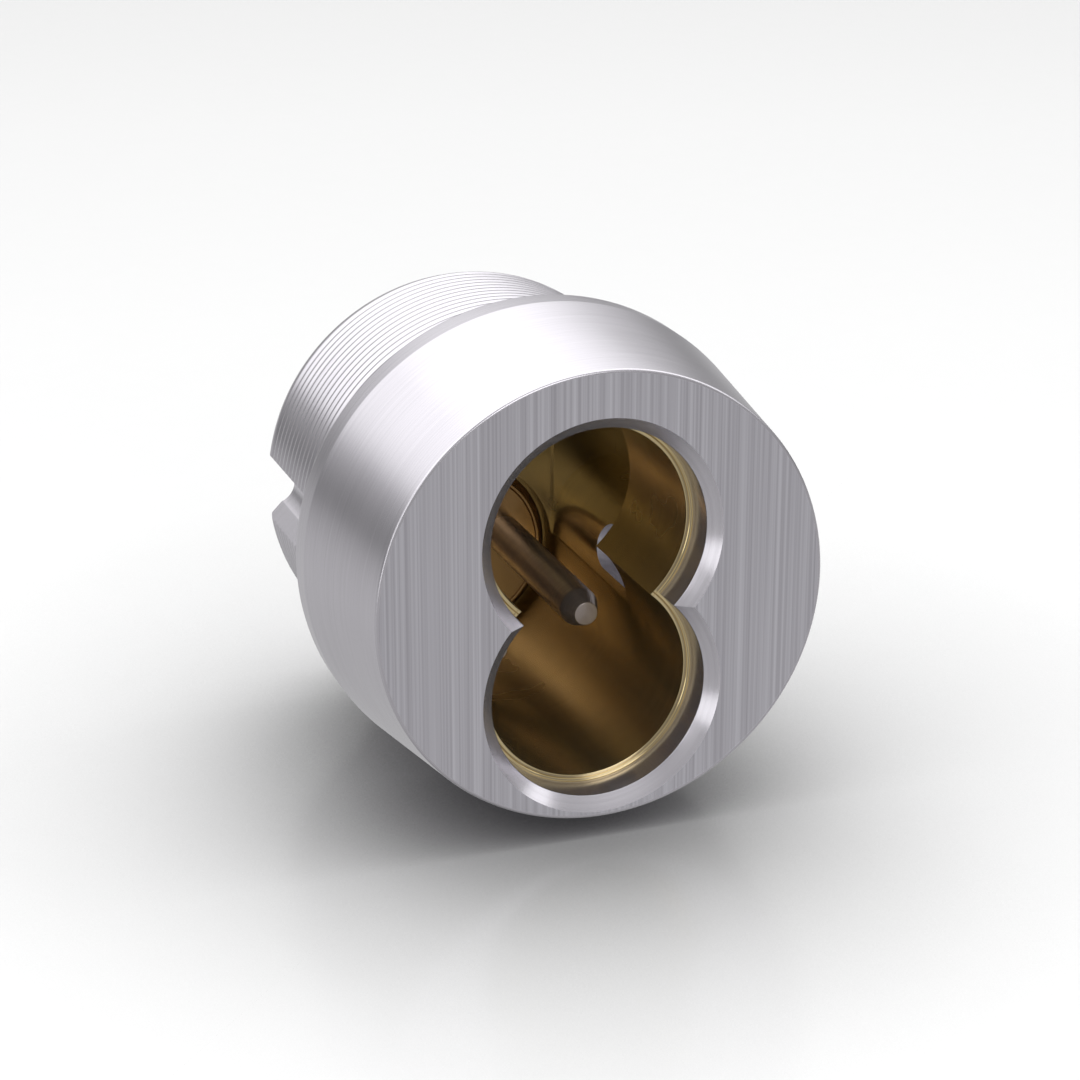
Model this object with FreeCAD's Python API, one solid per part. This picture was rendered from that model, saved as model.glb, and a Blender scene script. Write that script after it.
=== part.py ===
import FreeCAD, Part
import math
import os

# Mortise cylinder housing for a small interchangeable core, in millimetres.
# The barrel axis is the Y axis. The front of the lock is towards -Y, up is +Z.
# The origin lies on the barrel axis in the plane of the shoulder behind the head.

# Head, a cone that widens to a short straight band
head_length = 13.61
face_radius = 15.33
face_edge = 0.20
head_radius = 16.78
band_length = 1.97
band_edge = 0.25

# Barrel, plain at the crests of its 1.150 inch by 32 thread
barrel_radius = 14.605
barrel_length = 16.15
lead_length = 0.25
lead_depth = 0.25

# Core socket, two round lobes one above the other
upper_lobe_height = 3.91
lower_lobe_height = -6.69
lobe_radius = 6.95
mouth_radius = 7.41
mouth_depth = 3.17
mouth_chamfer_radial = 0.86
mouth_chamfer_axial = 0.81
floor_wall = 0.99

# Pocket on the right of the socket, where the lug of the core swings out
pocket_setback = 0.46
pocket_end_wall = 1.37
pocket_radius = 11.95
pocket_top = 7.90
pocket_ledge = -0.23
pocket_corner_radius = 4.57
relief_half_width = 7.01
relief_foot = -5.96

# Slot from the pocket out through the side of the barrel
slot_width = 3.07
slot_height = -3.59
slot_length = 6.49

# Rounded grooves for the set screw of the lock, one each side of the barrel
groove_floor_distance = 12.43
groove_floor_radius = 1.54
groove_corner_distance = 13.42
groove_half_angle = 45.0
groove_angles = (0.0, 180.0)

# Hub behind the barrel, round the axis of the throw member
hub_radius = 7.45
hub_length = 2.44
web_thickness = 1.80

# Throw member, a flanged journal in the hub
flange_radius = 6.65
flange_chamfer = 0.52
flange_thickness = 1.17
journal_radius = 5.40
running_clearance = 0.05
end_play = 0.05
rest_turn = 15.0

# Pins of the throw member, which enter the back of the core
pin_radius = 1.38
pin_pitch_radius = 3.43
pin_reach = 17.35
pin_spigot_radius = 1.00
pin_seat_depth = 2.00
pin_tip_length = 1.45
pin_tip_radius = 0.83
pin_fit = 0.01

# Cam on the back of the throw member
cam_hub_radius = 7.40
cam_thickness = 2.30
cam_reach = 17.50
cam_tail_radius = 4.20
cam_edge = 0.25

# Flat-headed screws that hold the cam
screw_radius = 1.20
screw_pitch_radius = 3.30
screw_head_radius = 2.25
screw_head_height = 1.05
screw_depth = 2.30
screw_fit = 0.01
screw_hole_clearance = 0.15
screw_slot_width = 0.60
screw_slot_depth = 0.55

# Places that follow from the sizes above
front = -head_length
barrel_end = barrel_length
floor = barrel_end - floor_wall
pocket_front = -pocket_setback
pocket_end = barrel_end - pocket_end_wall
hub_end = barrel_end + hub_length
web_front = hub_end - web_thickness
flange_back = web_front - end_play
flange_front = flange_back - flange_thickness
journal_end = hub_end + end_play
cam_end = journal_end + cam_thickness
turn_axis = FreeCAD.Vector(0, 0, lower_lobe_height)
forward = FreeCAD.Vector(0, 1, 0)
beyond = 2.0


def rod(radius, start, end, x=0.0, z=0.0):
    base = FreeCAD.Vector(x, start, z)
    return Part.makeCylinder(radius, end - start, base, forward)


def taper(first_radius, last_radius, start, end, x=0.0, z=0.0):
    base = FreeCAD.Vector(x, start, z)
    return Part.makeCone(first_radius, last_radius, end - start, base, forward)


def prism(outline, start, end):
    corners = [FreeCAD.Vector(x, start, z) for x, z in outline]
    wire = Part.makePolygon(corners + corners[:1])
    return Part.Face(wire).extrude(forward * (end - start))


def turned(outline):
    corners = [FreeCAD.Vector(radius, y, 0) for radius, y in outline]
    wire = Part.makePolygon(corners + corners[:1])
    return Part.Face(wire).revolve(FreeCAD.Vector(), forward, 360)


def about_turn_axis(shape, angle):
    turned_shape = shape.copy()
    turned_shape.rotate(turn_axis, forward, -angle)
    return turned_shape


# Head and barrel as one turned blank, with the hub behind it
def blank():
    band_start = -band_length
    outline = [
        (0, front),
        (face_radius - face_edge, front),
        (face_radius, front + face_edge),
        (head_radius, band_start),
        (head_radius, -band_edge),
        (head_radius - band_edge, 0),
        (barrel_radius, 0),
        (barrel_radius, barrel_end - lead_length),
        (barrel_radius - lead_depth, barrel_end),
        (0, barrel_end),
    ]
    hub = rod(hub_radius, floor, hub_end, z=lower_lobe_height)
    return turned(outline).fuse(hub)


# The two lobes of the core socket, with their chamfered mouth and the ledge behind it
def socket():
    cutters = []
    for height in (upper_lobe_height, lower_lobe_height):
        run_in = beyond * mouth_chamfer_radial / mouth_chamfer_axial
        chamfer_start = mouth_radius + mouth_chamfer_radial + run_in
        chamfer_end = front + mouth_chamfer_axial
        cutters.append(taper(chamfer_start, mouth_radius, front - beyond, chamfer_end, z=height))
        cutters.append(rod(mouth_radius, front - beyond, front + mouth_depth, z=height))
    cutters.append(rod(lobe_radius, front, floor, z=upper_lobe_height))
    cutters.append(rod(lobe_radius, front, web_front, z=lower_lobe_height))
    cutters.append(rod(journal_radius + running_clearance, web_front - beyond, hub_end + beyond, z=lower_lobe_height))
    return cutters[0].multiFuse(cutters[1:])


# The flat-sided relief that joins the two lobes on the pocket's side, as deep as the floor
def waist_relief():
    return Part.makeBox(
        relief_half_width,
        floor - pocket_front,
        upper_lobe_height - relief_foot,
        FreeCAD.Vector(0, pocket_front, relief_foot),
    )


# The pocket's lower edge rounds out of the relief's side, and its outer wall follows the barrel
def lug_pocket():
    inner_x = lobe_radius / 2
    corner_x = relief_half_width + pocket_corner_radius
    corner_z = pocket_ledge - pocket_corner_radius
    eighth = pocket_corner_radius * math.sqrt(0.5)
    low_angle = math.asin(pocket_ledge / pocket_radius)
    high_angle = math.asin(pocket_top / pocket_radius)
    middle_angle = (low_angle + high_angle) / 2

    def at(x, z):
        return FreeCAD.Vector(x, pocket_front, z)

    def on_wall(angle):
        return at(pocket_radius * math.cos(angle), pocket_radius * math.sin(angle))

    inner_low = at(inner_x, corner_z)
    corner_low = at(relief_half_width, corner_z)
    corner_middle = at(corner_x - eighth, corner_z + eighth)
    corner_high = at(corner_x, pocket_ledge)
    inner_high = at(inner_x, pocket_top)
    edges = [
        Part.LineSegment(inner_low, corner_low).toShape(),
        Part.Arc(corner_low, corner_middle, corner_high).toShape(),
        Part.LineSegment(corner_high, on_wall(low_angle)).toShape(),
        Part.Arc(on_wall(low_angle), on_wall(middle_angle), on_wall(high_angle)).toShape(),
        Part.LineSegment(on_wall(high_angle), inner_high).toShape(),
        Part.LineSegment(inner_high, inner_low).toShape(),
    ]
    return Part.Face(Part.Wire(edges)).extrude(forward * (pocket_end - pocket_front))


# The slot has a round end at the back and leaves through the side of the barrel
def lug_slot():
    half = slot_width / 2
    round_centre = pocket_front + slot_length - half
    inner = lobe_radius - half
    outward = FreeCAD.Vector(1, 0, 0)
    straight = Part.makeBox(
        barrel_radius,
        round_centre - pocket_front,
        slot_width,
        FreeCAD.Vector(inner, pocket_front, slot_height - half),
    )
    round_base = FreeCAD.Vector(inner, round_centre, slot_height)
    round_end = Part.makeCylinder(half, barrel_radius, round_base, outward)
    return straight.fuse(round_end).common(rod(barrel_radius + face_edge, pocket_front, barrel_end))


# A groove with a round floor, whose corners open into 45 degree flanks, along the whole barrel
def set_screw_groove(angle):
    slope = math.radians(groove_half_angle)
    floor_centre = groove_floor_distance + groove_floor_radius
    corner = groove_corner_distance
    corner_half = math.sqrt(groove_floor_radius**2 - (floor_centre - corner)**2)
    outer = barrel_radius + beyond
    outer_half = corner_half + (outer - corner) * math.tan(slope)
    flanks = [
        (corner, -corner_half),
        (outer, -outer_half),
        (outer, outer_half),
        (corner, corner_half),
    ]
    groove = prism(flanks, 0, barrel_end + beyond)
    groove = groove.fuse(rod(groove_floor_radius, 0, barrel_end + beyond, floor_centre))
    groove.rotate(FreeCAD.Vector(), forward, angle)
    return groove


def housing():
    body = blank().cut(socket())
    body = body.cut(waist_relief())
    body = body.cut(lug_pocket())
    body = body.cut(lug_slot())
    for angle in groove_angles:
        body = body.cut(set_screw_groove(angle))
    return body.removeSplitter()


def throw_member():
    chamfer_back = flange_front + flange_chamfer
    body = taper(flange_radius - flange_chamfer, flange_radius, flange_front, chamfer_back, z=lower_lobe_height)
    body = body.fuse(rod(flange_radius, chamfer_back, flange_back, z=lower_lobe_height))
    body = body.fuse(rod(journal_radius, flange_front + flange_chamfer, journal_end, z=lower_lobe_height))
    for side in (-1, 1):
        seat_x = side * pin_pitch_radius
        seat_end = flange_front + pin_seat_depth
        body = body.cut(rod(pin_spigot_radius + pin_fit, flange_front - beyond, seat_end, seat_x, lower_lobe_height))
        tapped_z = lower_lobe_height + side * screw_pitch_radius
        tapped_start = journal_end - screw_depth
        body = body.cut(rod(screw_radius + screw_fit, tapped_start, journal_end + beyond, 0, tapped_z))
    return about_turn_axis(body.removeSplitter(), rest_turn)


# Each pin has a short cone with a flat tip, and a narrower spigot that is pressed into the throw member
def throw_pin(side):
    tip = flange_front - pin_reach
    shank = tip + pin_tip_length
    spigot_end = flange_front + pin_seat_depth
    x = side * pin_pitch_radius
    body = taper(pin_tip_radius, pin_radius, tip, shank, x, lower_lobe_height)
    body = body.fuse(rod(pin_radius, shank, flange_front, x, lower_lobe_height))
    body = body.fuse(rod(pin_spigot_radius, flange_front, spigot_end, x, lower_lobe_height))
    return about_turn_axis(body.removeSplitter(), rest_turn)


# The cam is a round plate with a tail whose sides run tangent from the plate to the tail's end
def cam():
    tail_centre = cam_reach - cam_tail_radius
    lean = math.asin((cam_hub_radius - cam_tail_radius) / tail_centre)
    tangents = [
        (cam_hub_radius * math.cos(lean), cam_hub_radius * math.sin(lean)),
        (cam_tail_radius * math.cos(lean), tail_centre + cam_tail_radius * math.sin(lean)),
    ]
    right_side = [(x, lower_lobe_height + z) for x, z in tangents]
    left_side = [(-x, z) for x, z in reversed(right_side)]
    tail = prism(right_side + left_side, journal_end, cam_end)
    body = rod(cam_hub_radius, journal_end, cam_end, z=lower_lobe_height)
    body = body.fuse(tail)
    body = body.fuse(rod(cam_tail_radius, journal_end, cam_end, z=lower_lobe_height + tail_centre))
    body = body.removeSplitter()
    back_edges = []
    for edge in body.Edges:
        if abs(edge.BoundBox.YMin - cam_end) < face_edge and abs(edge.BoundBox.YMax - cam_end) < face_edge:
            back_edges.append(edge)
    body = body.makeChamfer(cam_edge, back_edges)
    for side in (-1, 1):
        height = lower_lobe_height + side * screw_pitch_radius
        hole = screw_radius + screw_hole_clearance
        body = body.cut(rod(hole, journal_end - beyond, cam_end + beyond, 0, height))
        sink = taper(hole, screw_head_radius, cam_end - screw_head_height, cam_end, 0, height)
        body = body.cut(sink)
    return about_turn_axis(body, rest_turn)


def cam_screw(side):
    height = lower_lobe_height + side * screw_pitch_radius
    neck = cam_end - screw_head_height
    body = taper(screw_radius + screw_hole_clearance, screw_head_radius, neck, cam_end, 0, height)
    body = body.fuse(rod(screw_radius, journal_end - screw_depth, neck, 0, height))
    slot = Part.makeBox(
        2 * screw_head_radius + beyond,
        screw_slot_depth + beyond,
        screw_slot_width,
        FreeCAD.Vector(-screw_head_radius - beyond / 2, cam_end - screw_slot_depth, height - screw_slot_width / 2),
    )
    return about_turn_axis(body.cut(slot), rest_turn)


nodes = {
    "housing": housing(),
    "throw_member": throw_member(),
    "throw_pin_left": throw_pin(-1),
    "throw_pin_right": throw_pin(1),
    "cam": cam(),
    "cam_screw_upper": cam_screw(1),
    "cam_screw_lower": cam_screw(-1),
}

os.makedirs("parts", exist_ok=True)
for name, shape in nodes.items():
    shape.exportStep(os.path.join("parts", name + ".step"))
    print(name, len(shape.Solids), round(shape.Volume, 2), shape.isValid())
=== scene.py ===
import bpy
import math
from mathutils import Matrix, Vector


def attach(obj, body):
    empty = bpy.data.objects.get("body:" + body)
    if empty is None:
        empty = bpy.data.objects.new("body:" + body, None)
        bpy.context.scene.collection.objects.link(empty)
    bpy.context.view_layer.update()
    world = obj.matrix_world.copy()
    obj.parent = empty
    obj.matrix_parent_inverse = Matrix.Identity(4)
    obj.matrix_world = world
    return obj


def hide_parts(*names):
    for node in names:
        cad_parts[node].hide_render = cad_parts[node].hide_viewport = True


# Mortise cylinder housing for a small interchangeable core.
# Sizes in the dictionaries are millimetres, in the frame of the CAD part, and angles are degrees.

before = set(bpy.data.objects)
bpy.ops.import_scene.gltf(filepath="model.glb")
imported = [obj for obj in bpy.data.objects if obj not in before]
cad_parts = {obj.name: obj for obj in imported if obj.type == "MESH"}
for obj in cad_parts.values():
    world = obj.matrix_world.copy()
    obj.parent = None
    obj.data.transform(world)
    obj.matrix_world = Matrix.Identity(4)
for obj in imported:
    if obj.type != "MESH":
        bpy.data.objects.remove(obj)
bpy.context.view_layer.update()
mm = 0.001
metre = 1000.0  # in millimetres
fullTurn = 2 * math.pi


# Camera, first of all

view = {
    "place": (-61.25, -169.82, 65.13),
    "aim": (-4.397, -13.61, 4.633),
    "lens": 93.333,
    "sensorWidth": 36.0,
    "nearest": 10.0,
    "farthest": 20000.0,
}

cameraPlace = Vector(view["place"]) * mm
cameraAim = Vector(view["aim"]) * mm
cameraTurn = (cameraAim - cameraPlace).to_track_quat("-Z", "Y").to_euler()
bpy.ops.object.camera_add(location=cameraPlace, rotation=cameraTurn)
camera = bpy.context.object
camera.name = "photoCamera"
camera.data.lens = view["lens"]
camera.data.sensor_width = view["sensorWidth"]
camera.data.clip_start = view["nearest"] * mm
camera.data.clip_end = view["farthest"] * mm
bpy.context.scene.camera = camera
bpy.context.scene.view_settings.view_transform = "Standard"
print("camera placed")


# Small helpers

beyond = 1.0  # how far a cutting tool stands past the surface that it cuts
joinGap = {"line": 1e-7, "piece": 1e-6, "finished": 2e-6}  # metres: points this close become one
smoothing = {"angle": 28, "crackSides": 6, "flatWeight": 90}


def linearColour(hexText):
    channels = [int(hexText[i:i + 2], 16) / 255 for i in (1, 3, 5)]
    linear = [c / 12.92 if c <= 0.04045 else ((c + 0.055) / 1.055) ** 2.4 for c in channels]
    return tuple(linear) + (1.0,)


def addNode(tree, kind, settings=None, values=None, links=None):
    node = tree.nodes.new(kind)
    for key, value in (settings or {}).items():
        setattr(node, key, value)
    for key, value in (values or {}).items():
        node.inputs[key].default_value = value
    for key, source in (links or {}).items():
        tree.links.new(source, node.inputs[key])
    return node


def setStops(ramp, stops):
    elements = ramp.color_ramp.elements
    while len(elements) < len(stops):
        elements.new(0.5)
    for element, (position, colour) in zip(elements, stops):
        element.position = position
        element.color = colour if len(colour) == 4 else tuple(colour) + (1.0,)


def clearSelection():
    if bpy.context.mode != "OBJECT":
        bpy.ops.object.mode_set(mode="OBJECT")
    bpy.ops.object.select_all(action="DESELECT")


def pickPiece(piece):
    clearSelection()
    piece.select_set(True)
    bpy.context.view_layer.objects.active = piece


def selectMesh():
    bpy.ops.mesh.select_all(action="SELECT")


def extrudeBy(step):
    bpy.ops.mesh.extrude_region_move(TRANSFORM_OT_translate={"value": step})


def applyModifier(piece, kind, **settings):
    pickPiece(piece)
    bpy.ops.object.modifier_add(type=kind)
    modifier = piece.modifiers[-1]
    for key, value in settings.items():
        setattr(modifier, key, value)
    bpy.ops.object.modifier_apply(modifier=modifier.name)


# A corner with a third number becomes a short curve, so that it catches the light as a worked edge does
def softOutline(corners, parts=4):
    soft = []
    for index, corner in enumerate(corners):
        here = Vector(corner[:2])
        reach = corner[2] if len(corner) > 2 else 0
        if not reach:
            soft.append(tuple(here))
            continue
        before = Vector(corners[index - 1][:2])
        after = Vector(corners[(index + 1) % len(corners)][:2])
        start = here + (before - here).normalized() * reach
        end = here + (after - here).normalized() * reach
        for part in range(parts + 1):
            t = part / parts
            soft.append(tuple(start * (1 - t) ** 2 + here * 2 * t * (1 - t) + end * t ** 2))
    return soft


def rodOutline(radius, start, end):
    return [(0, start), (radius, start), (radius, end), (0, end)]


def arcPoints(centre, radius, fromDegrees, toDegrees, parts):
    points = []
    for part in range(parts + 1):
        angle = math.radians(fromDegrees + (toDegrees - fromDegrees) * part / parts)
        points.append((centre[0] + radius * math.cos(angle), centre[1] + radius * math.sin(angle)))
    return points


# One vertex, then an edge drawn from point to point
def drawnLine(name, points):
    clearSelection()
    bpy.ops.mesh.primitive_plane_add(size=mm)
    piece = bpy.context.object
    piece.name = name
    bpy.ops.object.mode_set(mode="EDIT")
    selectMesh()
    bpy.ops.mesh.merge(type="CENTER")
    bpy.ops.transform.translate(value=points[0])
    for before, after in zip(points, points[1:]):
        extrudeBy(after - before)
    return piece


def closedLine(name, points):
    piece = drawnLine(name, points + points[:1])
    selectMesh()
    bpy.ops.mesh.remove_doubles(threshold=joinGap["line"])
    return piece


def drawnFace(name, points):
    piece = closedLine(name, points)
    bpy.ops.mesh.edge_face_add()
    selectMesh()
    return piece


# Doubles are merged before the faces are turned outwards
def closePiece(piece, finish):
    selectMesh()
    bpy.ops.mesh.remove_doubles(threshold=joinGap["piece"])
    bpy.ops.mesh.normals_make_consistent(inside=False)
    bpy.ops.object.mode_set(mode="OBJECT")
    piece.data.materials.append(finish)


# The outline is (radius, y), from the axis and back to the axis
def turnedPiece(name, outline, finish, steps, x=0.0, z=0.0):
    piece = drawnLine(name, [Vector((x + radius, y, z)) * mm for radius, y in outline])
    selectMesh()
    bpy.ops.mesh.spin(steps=steps, angle=fullTurn, center=Vector((x, 0, z)) * mm, axis=(0, 1, 0))
    closePiece(piece, finish)
    return piece


# The outline is (x, z), and the prism runs along y
def prismPiece(name, outline, finish, start, end):
    piece = drawnFace(name, [Vector((x, start, z)) * mm for x, z in outline])
    extrudeBy((0, (end - start) * mm, 0))
    closePiece(piece, finish)
    return piece


# A tool leaves its own finish on the faces that it cuts
def combine(piece, tool, operation="DIFFERENCE"):
    applyModifier(
        piece, "BOOLEAN", operation=operation, solver="EXACT", material_mode="TRANSFER", object=tool,
    )
    bpy.data.objects.remove(tool, do_unlink=True)


def smoothPiece(piece):
    pickPiece(piece)
    bpy.ops.object.mode_set(mode="EDIT")
    selectMesh()
    bpy.ops.mesh.remove_doubles(threshold=joinGap["finished"])
    selectMesh()
    bpy.ops.mesh.fill_holes(sides=smoothing["crackSides"])  # hairline cracks where tools meet
    bpy.ops.object.mode_set(mode="OBJECT")
    bpy.ops.object.shade_smooth_by_angle(angle=math.radians(smoothing["angle"]))
    applyModifier(piece, "WEIGHTED_NORMAL", keep_sharp=True, weight=smoothing["flatWeight"])


def finishPiece(piece, body, node):
    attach(piece, body)
    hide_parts(node)


# Materials

pattern = {
    "markDetail": 3.0, "markRoughness": 0.6, "cloudDetail": 2.0,
    "tintRange": (0.32, 0.68), "wearRange": (0.3, 0.7),
}


# Noise stretched along the tool marks: its cells are as wide as a line and as long as one
def toolMarks(tree, look):
    place = addNode(tree, "ShaderNodeTexCoord")
    cell = [look["lineWidth"] if axis in look["across"] else look["lineLength"] for axis in "xyz"]
    stretch = addNode(
        tree, "ShaderNodeMapping", values={"Scale": [metre / size for size in cell]},
        links={"Vector": place.outputs["Object"]},
    )
    return addNode(
        tree, "ShaderNodeTexNoise",
        values={"Scale": 1.0, "Detail": pattern["markDetail"], "Roughness": pattern["markRoughness"]},
        links={"Vector": stretch.outputs["Vector"]},
    )


def startMaterial(name):
    material = bpy.data.materials.new(name)
    material.use_nodes = True
    tree = material.node_tree
    tree.nodes.clear()
    return material, tree


# A worked metal: colour and height follow the tool marks, and gloss follows broader clouds of wear
def markedMetal(name, look):
    material, tree = startMaterial(name)
    marks = toolMarks(tree, look)
    cloud = addNode(
        tree, "ShaderNodeTexNoise",
        values={"Scale": metre / look["cloudSize"], "Detail": pattern["cloudDetail"]},
        links={"Vector": addNode(tree, "ShaderNodeTexCoord").outputs["Object"]},
    )
    tint = addNode(tree, "ShaderNodeValToRGB", links={"Fac": marks.outputs["Fac"]})
    tints = (linearColour(look["darkTint"]), linearColour(look["lightTint"]))
    setStops(tint, list(zip(pattern["tintRange"], tints)))
    wornFrom, wornTo = pattern["wearRange"]
    glossiest, dullest = look["roughness"]
    worn = addNode(
        tree, "ShaderNodeMapRange",
        values={"From Min": wornFrom, "From Max": wornTo, "To Min": glossiest, "To Max": dullest},
        links={"Value": cloud.outputs["Fac"]},
    )
    height = addNode(
        tree, "ShaderNodeBump", values={"Strength": look["depth"], "Distance": look["lineHeight"] * mm},
        links={"Height": marks.outputs["Fac"]},
    )
    links = {
        "Base Color": tint.outputs["Color"],
        "Roughness": worn.outputs["Result"],
        "Normal": height.outputs["Normal"],
    }
    if look["stretch"]:
        grain = addNode(
            tree, "ShaderNodeTangent", settings={"direction_type": "RADIAL", "axis": look["grainAxis"]},
        )
        links["Tangent"] = grain.outputs["Tangent"]
    # the share that isn't metal is the faint haze of fine scratches and oil
    metal = addNode(
        tree, "ShaderNodeBsdfPrincipled",
        values={
            "Metallic": look["metal"],
            "Anisotropic": look["stretch"],
            "Anisotropic Rotation": look["grainTurn"],
        },
        links=links,
    )
    addNode(tree, "ShaderNodeOutputMaterial", links={"Surface": metal.outputs["BSDF"]})
    return material


# Satin chrome on the turned head and barrel: lathe lines run round the axis, so highlights stretch along it
turnedChromeLook = {
    "darkTint": "#C4C1C7", "lightTint": "#CDCAD0",
    "across": "y", "lineWidth": 0.10, "lineLength": 14.0, "cloudSize": 9.0,
    "roughness": (0.22, 0.27), "depth": 0.10, "lineHeight": 0.004,
    "stretch": 0.55, "grainAxis": "Y", "grainTurn": 0.25, "metal": 1.0,
}
turnedChrome = markedMetal("turnedSatinChrome", turnedChromeLook)

# Satin chrome on the front face: belt-ground lines run straight up, drawn as wide as they must be to show
brushedChromeLook = {
    "darkTint": "#BBB8BF", "lightTint": "#DCDAE1",
    "across": "x", "lineWidth": 0.22, "lineLength": 70.0, "cloudSize": 9.0,
    "roughness": (0.30, 0.36), "depth": 0.10, "lineHeight": 0.004,
    "stretch": 0.60, "grainAxis": "Z", "grainTurn": 0.0, "metal": 1.0,
}
brushedChrome = markedMetal("brushedSatinChrome", brushedChromeLook)

# Bright chrome on the mouth's chamfer and wall and in the side grooves: milled and plated, nearly a mirror
brightChromeLook = {
    "darkTint": "#C4C1C7", "lightTint": "#CDCAD0",
    "across": "y", "lineWidth": 0.20, "lineLength": 20.0, "cloudSize": 5.0,
    "roughness": (0.19, 0.23), "depth": 0.02, "lineHeight": 0.002,
    "stretch": 0.0, "grainAxis": "Y", "grainTurn": 0.0, "metal": 0.85,
}
brightChrome = markedMetal("brightChrome", brightChromeLook)

# Chrome in the milled slot: a paler, less metallic copy of the bright chrome, with painted light that makes
# the slot look lit. It is also rougher, so it looks soft
slotPaintedLightChromeLook = dict(
    brightChromeLook, darkTint="#DCDAE0", lightTint="#E6E4EA", roughness=(0.26, 0.32), metal=0.5,
)
slotPaintedLightChrome = markedMetal("slotPaintedLightChrome", slotPaintedLightChromeLook)

# Bare brass of the reamed bore and the pocket: warm and half glossy, with faint tool rings
boredBrassLook = {
    "darkTint": "#BBA97F", "lightTint": "#C7B58B",
    "across": "y", "lineWidth": 0.25, "lineLength": 12.0, "cloudSize": 6.0,
    "roughness": (0.23, 0.28), "depth": 0.02, "lineHeight": 0.003,
    "stretch": 0.0, "grainAxis": "Y", "grainTurn": 0.0, "metal": 0.92,
}
boredBrass = markedMetal("boredBrass", boredBrassLook)

# Brass of the ledge behind the mouth: faced with a fine tool, so its edges gleam
facedBrassLook = dict(
    boredBrassLook, darkTint="#C8B68C", lightTint="#D4C298", roughness=(0.12, 0.16), metal=1.0,
)
facedBrass = markedMetal("facedBrass", facedBrassLook)

# Bare brass of the turned throw member, a little redder, faced on the lathe
turnedBrassLook = dict(boredBrassLook, darkTint="#BFA27E", lightTint="#CBAE8A", roughness=(0.22, 0.28))
turnedBrass = markedMetal("turnedBrass", turnedBrassLook)

# Hardened steel of the pins: ground, dark and half glossy
groundSteelLook = {
    "darkTint": "#ACA29E", "lightTint": "#B8AEAA",
    "across": "y", "lineWidth": 0.15, "lineLength": 8.0, "cloudSize": 2.5,
    "roughness": (0.30, 0.38), "depth": 0.08, "lineHeight": 0.003,
    "stretch": 0.4, "grainAxis": "Y", "grainTurn": 0.25, "metal": 0.78,
}
groundSteel = markedMetal("groundDarkSteel", groundSteelLook)

# Plated steel of the cam: stamped and tumbled, so its marks have no clear direction
tumbledSteelLook = {
    "darkTint": "#BDBBC0", "lightTint": "#CBC9CE",
    "across": "xyz", "lineWidth": 0.30, "lineLength": 0.30, "cloudSize": 4.0,
    "roughness": (0.30, 0.40), "depth": 0.12, "lineHeight": 0.004,
    "stretch": 0.0, "grainAxis": "Y", "grainTurn": 0.0, "metal": 1.0,
}
tumbledSteel = markedMetal("tumbledPlatedSteel", tumbledSteelLook)

# Bright turned steel of the cam screws
brightSteelLook = dict(tumbledSteelLook, darkTint="#A3A1A6", lightTint="#B4B2B7", roughness=(0.22, 0.30))
brightSteel = markedMetal("brightTurnedSteel", brightSteelLook)
print("materials made")


# Housing: a turned blank with a hub, then each tool in turn

housing = {
    "front": -13.61, "faceRadius": 15.33, "faceEdge": 0.20,
    "headRadius": 16.78, "bandFront": -1.97, "bandEdge": 0.25, "coneEdge": 0.06,
    "barrelRadius": 14.605, "barrelEnd": 16.15, "lead": 0.25, "leadEdge": 0.05,
    "landLength": 0.90, "landFall": 0.17,  # the plain land behind the thread
    "hubRadius": 7.45, "hubEnd": 18.59, "hubEdge": 0.20, "webFront": 16.79, "floor": 15.16,
    "upper": 3.91, "lower": -6.69,  # how high the two lobes' axes are
    "lobeRadius": 6.95, "mouthRadius": 7.41, "mouthDepth": 3.17, "mouthEdge": 0.05, "ledgeEdge": 0.07,
    "chamferRadial": 0.86, "chamferAxial": 0.81,
    "boreClear": 0.005, "boreOverlap": 0.03,  # the bore's tool meets the mouth's with no skin between
    "ringRadius": 7.21, "ringHalf": 0.05, "ringEdge": 0.01,  # the fine ring line in the ledge
    "faceReach": 0.01, "faceNormal": 0.999,  # how near and how square a face is to take the ground finish
    "ledgeReach": 0.11, "ledgeNormal": 0.2,  # and the faced one
    "pocketFront": -0.46, "pocketEnd": 14.78, "pocketRadius": 11.95,
    "pocketTop": 7.90, "pocketLedge": -0.23, "pocketCorner": 4.57,
    "reliefHalf": 7.01, "reliefFoot": -5.96,
    "slotWidth": 3.07, "slotHeight": -3.59, "slotLength": 6.49,
    "slotSides": ((7.0, 1.0), (9.2, 1.15), (15.4, 1.0)),  # how far out, and how much longer than before
    "slotReach": (14.8, -2.0, 15.0),  # radius, front and back
    "journalHole": (5.45, 14.0, 20.0),  # radius, front and back
    "grooveFloor": 12.43, "grooveRadius": 1.54, "grooveCorner": 13.42,
    "steps": 256, "lobeSteps": 192, "hubSteps": 160, "slotReachSteps": 128, "arcParts": 32,
}
thread = {
    "pitch": 0.79375, "start": 0.35, "end": 15.15,
    "early": 1.5, "turns": 22,  # in pitches: how far before the start the helix begins, and how long it is
    "section": ((14.50, -0.03), (14.655, -0.37), (14.655, 0.37), (14.50, 0.03)),
    "reachRadius": 15.6, "reachSteps": 64, "steps": 256, "endSides": 8,
}


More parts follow.
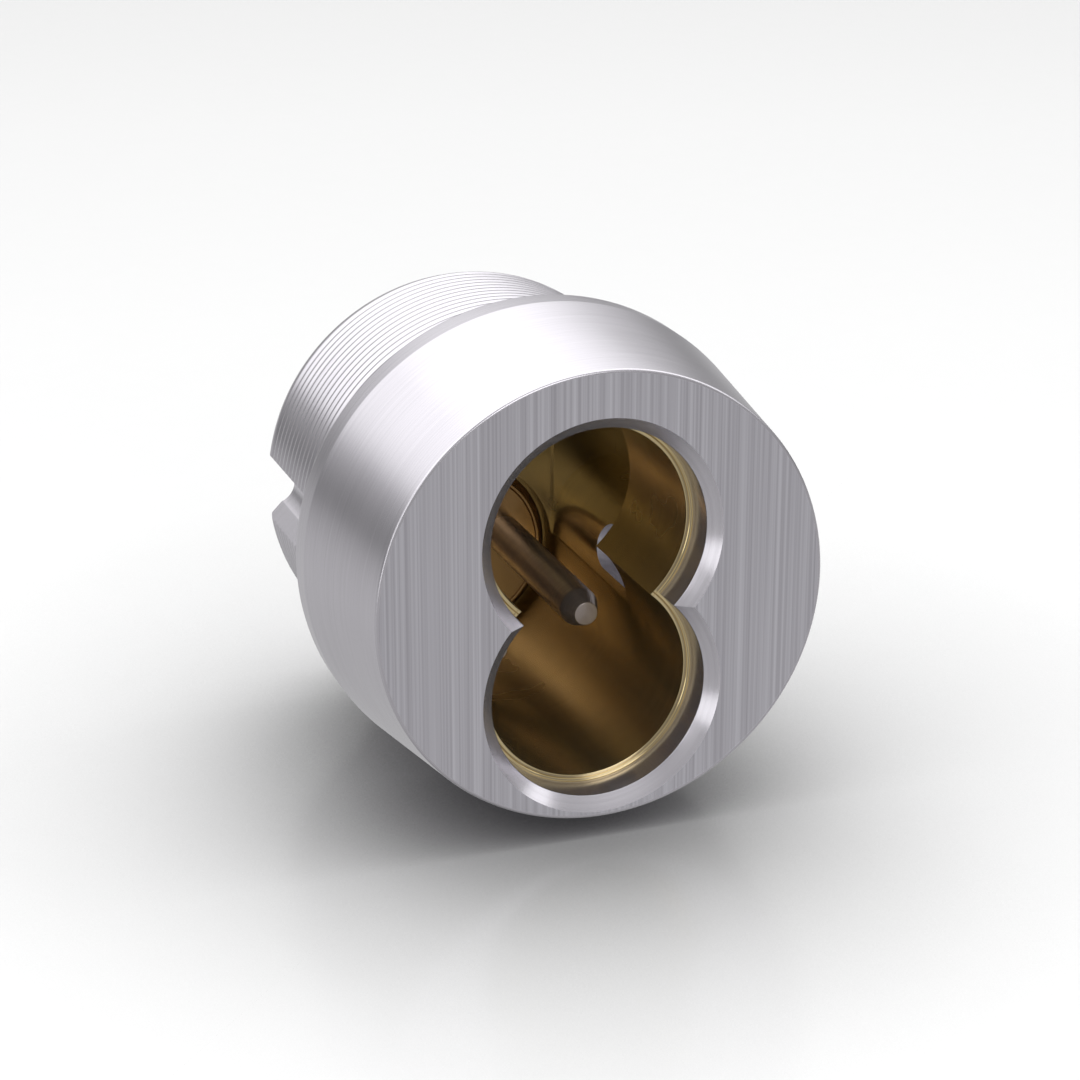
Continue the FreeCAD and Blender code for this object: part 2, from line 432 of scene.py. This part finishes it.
def housingBlank(size):
    outline = softOutline([
        (0, size["front"]),
        (size["faceRadius"], size["front"], size["faceEdge"]),
        (size["headRadius"], size["bandFront"], size["coneEdge"]),
        (size["headRadius"], 0, size["bandEdge"]),
        (size["barrelRadius"], 0),
        (size["barrelRadius"], size["barrelEnd"] - size["landLength"]),
        (size["barrelRadius"] - size["landFall"], size["barrelEnd"] - size["lead"], size["leadEdge"]),
        (size["barrelRadius"] - size["lead"], size["barrelEnd"], size["leadEdge"]),
        (0, size["barrelEnd"]),
    ])
    blank = turnedPiece("platedHousing", outline, turnedChrome, size["steps"])
    hubOutline = softOutline([
        (0, size["floor"]),
        (size["hubRadius"], size["floor"]),
        (size["hubRadius"], size["hubEnd"], size["hubEdge"]),
        (0, size["hubEnd"]),
    ])
    hub = turnedPiece("hub", hubOutline, turnedChrome, size["hubSteps"], z=size["lower"])
    combine(blank, hub, "UNION")
    return blank


# A shallow V-shaped helix, right-handed, kept between the head and the plain land at the barrel's end
def threadTool(size):
    first = size["start"] - size["early"] * size["pitch"]
    tool = closedLine("threadTool", [Vector((radius, first + y, 0)) * mm for radius, y in size["section"]])
    applyModifier(
        tool, "SCREW", axis="Y", angle=fullTurn, screw_offset=size["pitch"] * mm, iterations=size["turns"],
        steps=size["steps"], render_steps=size["steps"], use_merge_vertices=False,
    )
    bpy.ops.object.mode_set(mode="EDIT")
    selectMesh()
    bpy.ops.mesh.fill_holes(sides=size["endSides"])
    closePiece(tool, turnedChrome)
    reach = rodOutline(size["reachRadius"], size["start"], size["end"])
    combine(tool, turnedPiece("threadReach", reach, turnedChrome, size["reachSteps"]), "INTERSECT")
    return tool


# One lobe of the socket: the mouth with its chamfer is chromed, and behind it the bore is bare brass
def lobeTools(size, height, end):
    mouthEnd = size["front"] + size["mouthDepth"]
    wallEnd = mouthEnd - size["ledgeEdge"]
    slope = size["chamferRadial"] / size["chamferAxial"]
    mouth = turnedPiece("mouthTool", softOutline([
        (0, size["front"] - beyond),
        (size["mouthRadius"] + size["chamferRadial"] + slope * beyond, size["front"] - beyond),
        (size["mouthRadius"], size["front"] + size["chamferAxial"], size["mouthEdge"]),
        (size["mouthRadius"], wallEnd),
        (0, wallEnd),
    ]), brightChrome, size["lobeSteps"], z=height)
    wallRadius = size["mouthRadius"] + size["boreClear"]
    bore = turnedPiece("boreTool", softOutline([
        (0, wallEnd - size["boreOverlap"]),
        (wallRadius, wallEnd - size["boreOverlap"]),
        (wallRadius, mouthEnd, size["ledgeEdge"]),
        (size["ringRadius"] + size["ringHalf"], mouthEnd, size["ringEdge"]),
        (size["ringRadius"], mouthEnd + size["ringHalf"]),
        (size["ringRadius"] - size["ringHalf"], mouthEnd, size["ringEdge"]),
        (size["lobeRadius"], mouthEnd, size["ledgeEdge"]),
        (size["lobeRadius"], end),
        (0, end),
    ]), boredBrass, size["lobeSteps"], z=height)
    return mouth, bore


def reliefTool(size):
    half, foot = size["reliefHalf"], size["reliefFoot"]
    outline = [(0, foot), (half, foot), (half, size["upper"]), (0, size["upper"])]
    return prismPiece("reliefTool", outline, boredBrass, size["pocketFront"], size["floor"])


# The pocket for the core's lug, from inside the lobe out to a round wall about the barrel's axis
def pocketTool(size):
    inner = size["lobeRadius"] / 2
    cornerX = size["reliefHalf"] + size["pocketCorner"]
    cornerZ = size["pocketLedge"] - size["pocketCorner"]
    low = math.degrees(math.asin(size["pocketLedge"] / size["pocketRadius"]))
    high = math.degrees(math.asin(size["pocketTop"] / size["pocketRadius"]))
    outline = [(inner, cornerZ)]
    outline += arcPoints((cornerX, cornerZ), size["pocketCorner"], 180, 90, size["arcParts"])
    outline += arcPoints((0, 0), size["pocketRadius"], low, high, size["arcParts"])
    outline += [(inner, size["pocketTop"])]
    return prismPiece("pocketTool", outline, boredBrass, size["pocketFront"], size["pocketEnd"])


# The slot's round end is at the back, and it opens a little towards the side of the barrel
def slotTool(size):
    half = size["slotWidth"] / 2
    centreY = size["pocketFront"] + size["slotLength"] - half
    side = [(size["pocketFront"], size["slotHeight"] - half)]
    side += arcPoints((centreY, size["slotHeight"]), half, -90, 90, size["arcParts"])
    side += [(size["pocketFront"], size["slotHeight"] + half)]
    place = size["lobeRadius"] - half
    tool = drawnFace("slotTool", [Vector((place, y, z)) * mm for y, z in side])
    middle = (0, size["pocketFront"] * mm, size["slotHeight"] * mm)
    for end, flare in size["slotSides"]:
        extrudeBy(((end - place) * mm, 0, 0))
        bpy.ops.transform.resize(value=(1, flare, 1), center_override=middle)
        place = end
    # the slot's walls take the paler chrome, with painted light
    closePiece(tool, slotPaintedLightChrome)
    reach = rodOutline(*size["slotReach"])
    combine(tool, turnedPiece("slotReach", reach, slotPaintedLightChrome, size["slotReachSteps"]), "INTERSECT")
    return tool


# A groove for the set screw: a round floor whose corners open into flanks at 45 degrees
def grooveTool(size, side):
    centre = size["grooveFloor"] + size["grooveRadius"]
    corner = math.degrees(math.acos((size["grooveCorner"] - centre) / size["grooveRadius"]))
    cornerHalf = size["grooveRadius"] * math.sin(math.radians(corner))
    outer = size["barrelRadius"] + 2 * beyond
    outerHalf = cornerHalf + outer - size["grooveCorner"]
    outline = [(outer, outerHalf)]
    outline += arcPoints((centre, 0), size["grooveRadius"], corner, 360 - corner, size["arcParts"])
    outline += [(outer, -outerHalf)]
    outline = [(side * x, z) for x, z in outline]
    return prismPiece("grooveTool", outline, brightChrome, 0, size["barrelEnd"] + 2 * beyond)


def journalTool(size):
    outline = rodOutline(*size["journalHole"])
    return turnedPiece("journalTool", outline, boredBrass, size["hubSteps"], z=size["lower"])


def makeHousing(size, threadSize):
    body = housingBlank(size)
    print("housing: blank turned")
    for height, end in ((size["upper"], size["floor"]), (size["lower"], size["webFront"])):
        for tool in lobeTools(size, height, end):
            combine(body, tool)
    print("housing: socket bored")
    for makeTool in (reliefTool, pocketTool, slotTool, journalTool):
        combine(body, makeTool(size))
    print("housing: pocket, slot and journal hole cut")
    for side in (-1, 1):
        combine(body, grooveTool(size, side))
    combine(body, threadTool(threadSize))
    print("housing: side grooves and thread cut,", len(body.data.polygons), "faces")
    return body


# The front face is ground after the turning, so it takes its own finish
def grindFront(body, size):
    body.data.materials.append(brushedChrome)
    ground = len(body.data.materials) - 1
    behind = (size["front"] + size["faceReach"]) * mm
    for polygon in body.data.polygons:
        if polygon.normal.y < -size["faceNormal"] and polygon.center.y < behind:
            polygon.material_index = ground


# The ledge behind the mouth is faced last, with a fine tool
def faceLedge(body, size):
    body.data.materials.append(facedBrass)
    faced = len(body.data.materials) - 1
    bored = body.data.materials.find(boredBrass.name)
    ledge = (size["front"] + size["mouthDepth"]) * mm
    for polygon in body.data.polygons:
        near = abs(polygon.center.y - ledge) < size["ledgeReach"] * mm
        if near and polygon.material_index == bored and abs(polygon.normal.y) > size["ledgeNormal"]:
            polygon.material_index = faced


platedHousing = makeHousing(housing, thread)
grindFront(platedHousing, housing)
faceLedge(platedHousing, housing)
smoothPiece(platedHousing)
finishPiece(platedHousing, "housing_body", "housing")
print("housing finished")


# Throw member with its pins, cam and screws, all about the lower lobe's axis and turned 15 degrees at rest

throw = {
    "axisHeight": housing["lower"], "restAngle": 15.0,
    "flangeRadius": 6.65, "flangeChamfer": 0.52, "flangeFront": 15.57, "flangeBack": 16.74,
    "ringRadius": 5.84, "ringWidth": 0.10, "ringDepth": 0.10, "ringEdge": 0.02,
    "journalRadius": 5.40, "journalEnd": 18.64, "seatEnd": 17.57, "edge": 0.06,
    "fit": 0.01, "steps": 192, "holeSteps": 48,
}
pin = {
    "radius": 1.38, "pitchRadius": 3.43, "tipRadius": 0.83, "tip": -1.78, "shank": -0.33, "spigot": 1.00,
    "tipEdge": 0.06, "shankEdge": 0.15, "spigotEdge": 0.05, "steps": 96,
}
cam = {
    "hubRadius": 7.40, "front": throw["journalEnd"], "back": 20.94, "reach": 17.50, "tailRadius": 4.20,
    "edge": 0.25, "edgeAngle": 40, "edgeParts": 3, "tailParts": 48, "hubParts": 120,
}
camScrew = {
    "radius": 1.20, "pitch": 3.30, "headRadius": 2.25, "headHeight": 1.05, "end": 16.34, "clearance": 0.15,
    "slotWidth": 0.60, "slotDepth": 0.55, "endEdge": 0.1, "headEdge": 0.05, "steps": 64,
}


# A place on the throw member, given straight up, moved to where it stands at rest
def atRest(x, z):
    angle = math.radians(throw["restAngle"])
    across = x * math.cos(angle) - z * math.sin(angle)
    up = throw["axisHeight"] + x * math.sin(angle) + z * math.cos(angle)
    return across, up


def makeThrowMember(size):
    ring = size["ringRadius"]
    outline = softOutline([
        (0, size["flangeFront"]),
        (ring, size["flangeFront"], size["ringEdge"]),
        (ring + size["ringWidth"] / 2, size["flangeFront"] + size["ringDepth"]),
        (ring + size["ringWidth"], size["flangeFront"], size["ringEdge"]),
        (size["flangeRadius"] - size["flangeChamfer"], size["flangeFront"], size["edge"]),
        (size["flangeRadius"], size["flangeFront"] + size["flangeChamfer"], size["edge"]),
        (size["flangeRadius"], size["flangeBack"], size["edge"]),
        (size["journalRadius"], size["flangeBack"]),
        (size["journalRadius"], size["journalEnd"], size["edge"]),
        (0, size["journalEnd"]),
    ])
    member = turnedPiece("throwMember", outline, turnedBrass, size["steps"], z=size["axisHeight"])
    seat = rodOutline(pin["spigot"] + size["fit"], size["flangeFront"] - beyond, size["seatEnd"])
    tapped = rodOutline(camScrew["radius"] + size["fit"], camScrew["end"], size["journalEnd"] + beyond)
    for side in (-1, 1):
        x, z = atRest(side * pin["pitchRadius"], 0)
        combine(member, turnedPiece("seatTool", seat, turnedBrass, size["holeSteps"], x, z))
        x, z = atRest(0, side * camScrew["pitch"])
        combine(member, turnedPiece("tappedTool", tapped, turnedBrass, size["holeSteps"], x, z))
    return member


# A flat tip, a cone, a plain shank and a spigot that sits in the throw member
def makePin(name, side, size):
    x, z = atRest(side * size["pitchRadius"], 0)
    outline = softOutline([
        (0, size["tip"]),
        (size["tipRadius"], size["tip"], size["tipEdge"]),
        (size["radius"], size["shank"], size["shankEdge"]),
        (size["radius"], throw["flangeFront"]),
        (size["spigot"], throw["flangeFront"]),
        (size["spigot"], throw["seatEnd"], size["spigotEdge"]),
        (0, throw["seatEnd"]),
    ])
    return turnedPiece(name, outline, groundSteel, size["steps"], x, z)


# The sides of the tail run tangent from the round plate to its round end
def makeCam(size):
    tail = size["reach"] - size["tailRadius"]
    lean = math.degrees(math.asin((size["hubRadius"] - size["tailRadius"]) / tail))
    outline = arcPoints((0, tail), size["tailRadius"], lean, 180 - lean, size["tailParts"])
    outline += arcPoints((0, 0), size["hubRadius"], 180 - lean, 360 + lean, size["hubParts"])
    outline = [atRest(x, z) for x, z in outline]
    plate = prismPiece("camPlate", outline, tumbledSteel, size["front"], size["back"])
    applyModifier(
        plate, "BEVEL", limit_method="ANGLE", angle_limit=math.radians(size["edgeAngle"]),
        width=size["edge"] * mm, segments=size["edgeParts"],
    )
    hole = camScrew["radius"] + camScrew["clearance"]
    slope = (camScrew["headRadius"] - hole) / camScrew["headHeight"]
    sink = [
        (0, size["front"] - beyond),
        (hole, size["front"] - beyond),
        (hole, size["back"] - camScrew["headHeight"]),
        (camScrew["headRadius"] + slope * beyond, size["back"] + beyond),
        (0, size["back"] + beyond),
    ]
    for side in (-1, 1):
        x, z = atRest(0, side * camScrew["pitch"])
        combine(plate, turnedPiece("sinkTool", sink, tumbledSteel, camScrew["steps"], x, z))
    return plate


# A countersunk head, flush with the cam's back, with a straight slot
def makeCamScrew(name, side, size):
    x, z = atRest(0, side * size["pitch"])
    neck = cam["back"] - size["headHeight"]
    outline = softOutline([
        (0, size["end"]),
        (size["radius"], size["end"], size["endEdge"]),
        (size["radius"], neck),
        (size["radius"] + size["clearance"], neck),
        (size["headRadius"], cam["back"], size["headEdge"]),
        (0, cam["back"]),
    ])
    screw = turnedPiece(name, outline, brightSteel, size["steps"], x, z)
    half, reach = size["slotWidth"] / 2, size["headRadius"] + beyond
    corners = [(-reach, -half), (reach, -half), (reach, half), (-reach, half)]
    slot = [atRest(cornerX, side * size["pitch"] + cornerZ) for cornerX, cornerZ in corners]
    slotFloor = cam["back"] - size["slotDepth"]
    combine(screw, prismPiece("screwSlotTool", slot, brightSteel, slotFloor, cam["back"] + beyond))
    return screw


throwPieces = [
    (makeThrowMember(throw), "throw_member", "bare_brass"),
    (makePin("throwPinLeft", -1, pin), "throw_pin_left", "dark_steel"),
    (makePin("throwPinRight", 1, pin), "throw_pin_right", "dark_steel"),
    (makeCam(cam), "cam", "plated_steel"),
    (makeCamScrew("camScrewUpper", 1, camScrew), "cam_screw_upper", "screw_steel"),
    (makeCamScrew("camScrewLower", -1, camScrew), "cam_screw_lower", "screw_steel"),
]
for piece, node, slot in throwPieces:
    smoothPiece(piece)
    finishPiece(piece, "throw", node)
print("throw member, pins, cam and screws made")


# Floor, world and lights

stage = {
    "floorHeight": -16.83, "floorSize": 4000.0, "floorTint": "#E4E4E4",
    "floorRoughness": 0.18, "floorGloss": 0.15,
    "grainsPerMetre": 300.0, "grainDetail": 2.0, "grainRange": (0.3, 0.7), "grainShade": 0.995,
    # how far the painted shade under the object reaches, and how finely it is sampled
    "paintedShadeReach": 40.0, "paintedShadeSamples": 8,
}

# A band is (how high, from 0 straight down to 1 straight up, and how bright)
sky = {
    "camera": 1.0, "brightest": 2.0,
    "frontTo": -0.28, "backFrom": -0.04,  # between these, the front's bands turn into the back's
    "back": [
        (0.0, 0.125), (0.022, 0.20), (0.09, 0.25), (0.33, 0.33), (0.395, 0.32), (0.45, 0.26),
        (0.49, 0.14), (0.54, 0.16), (0.58, 0.24), (0.6285, 0.32), (0.671, 0.34), (0.6965, 0.46),
        (0.7095, 0.51), (0.734, 0.58), (0.76, 0.90), (0.78, 1.0),
    ],
    "front": [
        (0.0, 0.125), (0.025, 0.20), (0.09, 0.25), (0.33, 0.29), (0.45, 0.26), (0.49, 0.21),
        (0.62, 0.25), (0.775, 0.29), (0.84, 0.27), (0.90, 0.33), (0.95, 0.42), (1.0, 0.60),
    ],
    "spots": [
        {"towards": (-0.866, -0.500, -0.035), "inner": 0.988, "outer": 0.980, "strength": 0.9},
        {"towards": (0.875, -0.235, 0.423), "inner": 0.991, "outer": 0.983, "strength": 0.9},
        {"towards": (-0.890, -0.200, 0.360), "inner": 0.975, "outer": 0.935, "strength": 0.85},
        {"towards": (0.080, -0.880, 0.420), "inner": 0.985, "outer": 0.950, "strength": 1.40},
        {"towards": (-0.550, 0.600, 0.580), "inner": 0.970, "outer": 0.900, "strength": 0.90},
    ],
    "overhead": {"towards": (0.17, 0.47, 0.87), "inner": 0.98, "outer": 0.7, "strength": 3.5, "fill": 0.55},
}


def makeFloor(size):
    clearSelection()
    place = (0, 0, size["floorHeight"] * mm)
    bpy.ops.mesh.primitive_plane_add(size=size["floorSize"] * mm, location=place)
    floor = bpy.context.object
    floor.name = "floor"
    material, tree = startMaterial("paleFloor")
    grain = addNode(
        tree, "ShaderNodeTexNoise",
        values={"Scale": size["grainsPerMetre"], "Detail": size["grainDetail"]},
        links={"Vector": addNode(tree, "ShaderNodeTexCoord").outputs["Object"]},
    )
    tint = addNode(tree, "ShaderNodeValToRGB", links={"Fac": grain.outputs["Fac"]})
    pale = linearColour(size["floorTint"])
    shaded = tuple(c * size["grainShade"] for c in pale[:3])
    setStops(tint, list(zip(size["grainRange"], (shaded, pale))))
    # painted shade: ambient occlusion darkens the floor's own colour under and near the object, as deep as
    # the shade in the photo
    shade = addNode(
        tree, "ShaderNodeAmbientOcclusion", settings={"samples": size["paintedShadeSamples"]},
        values={"Distance": size["paintedShadeReach"] * mm}, links={"Color": tint.outputs["Color"]},
    )
    paint = addNode(
        tree, "ShaderNodeBsdfPrincipled",
        values={"Roughness": size["floorRoughness"], "Specular IOR Level": size["floorGloss"]},
        links={"Base Color": shade.outputs["Color"]},
    )
    addNode(tree, "ShaderNodeOutputMaterial", links={"Surface": paint.outputs["BSDF"]})
    floor.data.materials.append(material)
    floor.visible_glossy = False


# A patch of light round one direction, with a soft edge
def softSpot(tree, direction, spot, least):
    nearness = addNode(
        tree, "ShaderNodeVectorMath", settings={"operation": "DOT_PRODUCT"},
        values={1: Vector(spot["towards"]).normalized()}, links={0: direction},
    )
    values = {
        "From Min": spot["outer"], "From Max": spot["inner"],
        "To Min": least, "To Max": spot["strength"],
    }
    patch = addNode(
        tree, "ShaderNodeMapRange", settings={"interpolation_type": "SMOOTHSTEP"},
        values=values, links={"Value": nearness.outputs["Value"]},
    )
    return patch.outputs["Result"]


# The bands round the object: white above and behind, dark at the horizon and grey below
def skyBands(tree, direction, light):
    parts = addNode(tree, "ShaderNodeSeparateXYZ", links={"Vector": direction})
    height = addNode(
        tree, "ShaderNodeMapRange", values={"From Min": -1.0, "From Max": 1.0},
        links={"Value": parts.outputs["Z"]},
    )
    halves = []
    for half in ("front", "back"):
        bands = addNode(tree, "ShaderNodeValToRGB", links={"Fac": height.outputs["Result"]})
        setStops(bands, [(place, (level,) * 3) for place, level in light[half]])
        halves.append(bands.outputs["Color"])
    turning = addNode(
        tree, "ShaderNodeMapRange", settings={"interpolation_type": "SMOOTHSTEP"},
        values={"From Min": light["frontTo"], "From Max": light["backFrom"]},
        links={"Value": parts.outputs["Y"]},
    )
    # sockets 6 and 7 are the two colours, and 2 is the mixed one
    blend = addNode(
        tree, "ShaderNodeMix", settings={"data_type": "RGBA"},
        links={"Factor": turning.outputs["Result"], 6: halves[0], 7: halves[1]},
    )
    return blend.outputs[2]


# The studio: the metal mirrors the bands and five small bright boxes, two at the left, one at the right,
# one in front and one high behind the left. The floor is lit from overhead, and the camera sees white.
def makeWorld(light):
    world = bpy.data.worlds.new("studio")
    bpy.context.scene.world = world
    world.use_nodes = True
    tree = world.node_tree
    tree.nodes.clear()
    direction = addNode(tree, "ShaderNodeTexCoord").outputs["Generated"]
    level = skyBands(tree, direction, light)
    for spot in light["spots"]:
        box = softSpot(tree, direction, spot, 0.0)
        lit = addNode(tree, "ShaderNodeMath", settings={"operation": "MAXIMUM"}, links={0: level, 1: box})
        level = lit.outputs["Value"]
    strength = addNode(
        tree, "ShaderNodeMath", settings={"operation": "MULTIPLY"},
        values={1: light["brightest"]}, links={0: level},
    )
    overhead = softSpot(tree, direction, light["overhead"], light["overhead"]["fill"])
    white = {"Color": (1, 1, 1, 1)}
    mirrored = addNode(
        tree, "ShaderNodeBackground", values=white, links={"Strength": strength.outputs["Value"]},
    )
    onFloor = addNode(tree, "ShaderNodeBackground", values=white, links={"Strength": overhead})
    plain = addNode(tree, "ShaderNodeBackground", values=dict(white, Strength=light["camera"]))
    path = addNode(tree, "ShaderNodeLightPath")
    studio = addNode(tree, "ShaderNodeMixShader", links={
        0: path.outputs["Diffuse Depth"],
        1: mirrored.outputs["Background"],
        2: onFloor.outputs["Background"],
    })
    whole = addNode(tree, "ShaderNodeMixShader", links={
        0: path.outputs["Is Camera Ray"],
        1: studio.outputs["Shader"],
        2: plain.outputs["Background"],
    })
    addNode(tree, "ShaderNodeOutputWorld", links={"Surface": whole.outputs["Shader"]})


makeFloor(stage)
makeWorld(sky)
print("stage and lights set")

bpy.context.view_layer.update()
clearSelection()
